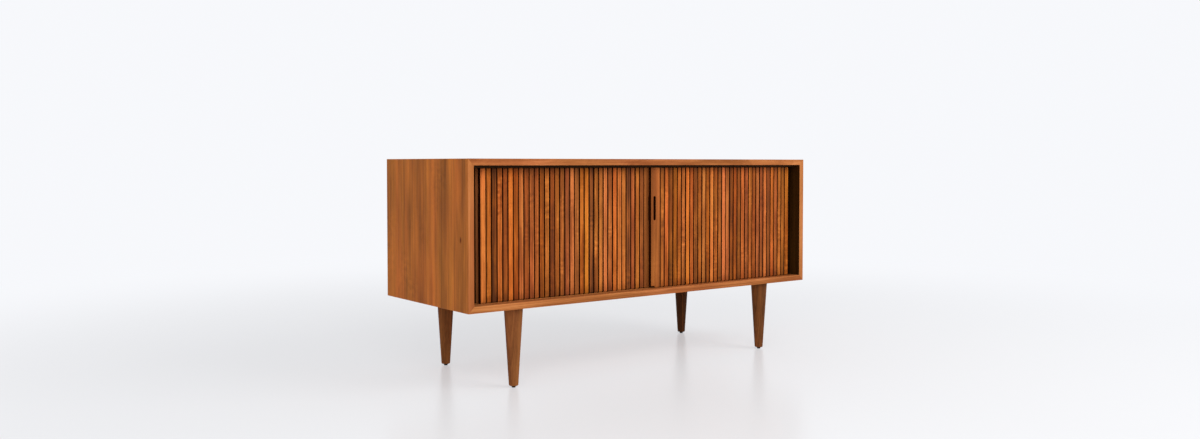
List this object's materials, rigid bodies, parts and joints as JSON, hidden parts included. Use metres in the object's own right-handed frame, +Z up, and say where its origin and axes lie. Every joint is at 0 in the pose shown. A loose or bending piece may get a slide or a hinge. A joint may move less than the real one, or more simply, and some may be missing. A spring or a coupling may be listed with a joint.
{
  "type": "tambour door cabinet",
  "caption": "Low mitred walnut cabinet on round tapered legs, with sliding tambour doors of narrow slats on canvas that pass each other in grooves.",
  "frame": {"origin": "on the floor under the middle of the case", "axes": "+X along the front, to the right as the doors are faced; -Y is the front; +Z is up"},
  "size_m": [1.372, 0.508, 0.665],
  "materials": {
    "case_walnut": "oiled walnut, satin",
    "slat_walnut": "oiled walnut, satin, varied from slat to slat",
    "leg_walnut": "oiled walnut, satin",
    "inner_walnut": "oiled walnut veneer, dull",
    "plywood": "bare birch plywood",
    "track_black": "black stained hardwood, waxed",
    "steel": "zinc plated steel",
    "brass": "plain brass",
    "black_nylon": "black nylon, dull",
    "canvas": "dark cotton canvas behind the slats"
  },
  "bodies": {
    "case": {"case_top": "case_walnut", "case_bottom": "case_walnut", "case_side_left": "case_walnut", "case_side_right": "case_walnut", "mitre_spline_top_left": "plywood", "mitre_spline_top_right": "plywood", "mitre_spline_bottom_left": "plywood", "mitre_spline_bottom_right": "plywood", "back_panel": "inner_walnut", "back_screw_top_left": "steel", "back_screw_top_middle": "steel", "back_screw_top_right": "steel", "back_screw_bottom_left": "steel", "back_screw_bottom_middle": "steel", "back_screw_bottom_right": "steel", "back_screw_side_left": "steel", "back_screw_side_right": "steel", "pocket_panel_left": "inner_walnut", "centre_divider": "inner_walnut", "pocket_panel_right": "inner_walnut", "shelf_left": "inner_walnut", "shelf_right": "inner_walnut", "shelf_pin_left_outer_front": "brass", "shelf_pin_left_outer_back": "brass", "shelf_pin_left_middle_front": "brass", "shelf_pin_left_middle_back": "brass", "shelf_pin_right_middle_front": "brass", "shelf_pin_right_middle_back": "brass", "shelf_pin_right_outer_front": "brass", "shelf_pin_right_outer_back": "brass", "top_track_front": "track_black", "top_track_corner_left": "track_black", "top_track_corner_right": "track_black", "top_track_side_left": "track_black", "top_track_side_right": "track_black", "leg_front_left": "leg_walnut", "leg_front_right": "leg_walnut", "leg_back_left": "leg_walnut", "leg_back_right": "leg_walnut", "leg_insert_front_left": "brass", "leg_insert_front_right": "brass", "leg_insert_back_left": "brass", "leg_insert_back_right": "brass", "leg_bolt_front_left": "steel", "leg_bolt_front_right": "steel", "leg_bolt_back_left": "steel", "leg_bolt_back_right": "steel", "glide_front_left": "black_nylon", "glide_front_right": "black_nylon", "glide_back_left": "black_nylon", "glide_back_right": "black_nylon"},
    "left_door": {"left_tambour": "slat_walnut", "left_lead_stile": "slat_walnut", "left_lead_strip": "slat_walnut"},
    "right_door": {"right_tambour": "slat_walnut", "right_lead_stile": "slat_walnut", "right_lead_strip": "slat_walnut"}
  },
  "joints": [
    {"name": "left_door_slide", "type": "slide", "parent": "case", "child": "left_door", "axis": [1, 0, 0], "range_m": [0, 0.6]},
    {"name": "right_door_slide", "type": "slide", "parent": "case", "child": "right_door", "axis": [1, 0, 0], "range_m": [-0.633, 0]}
  ]
}
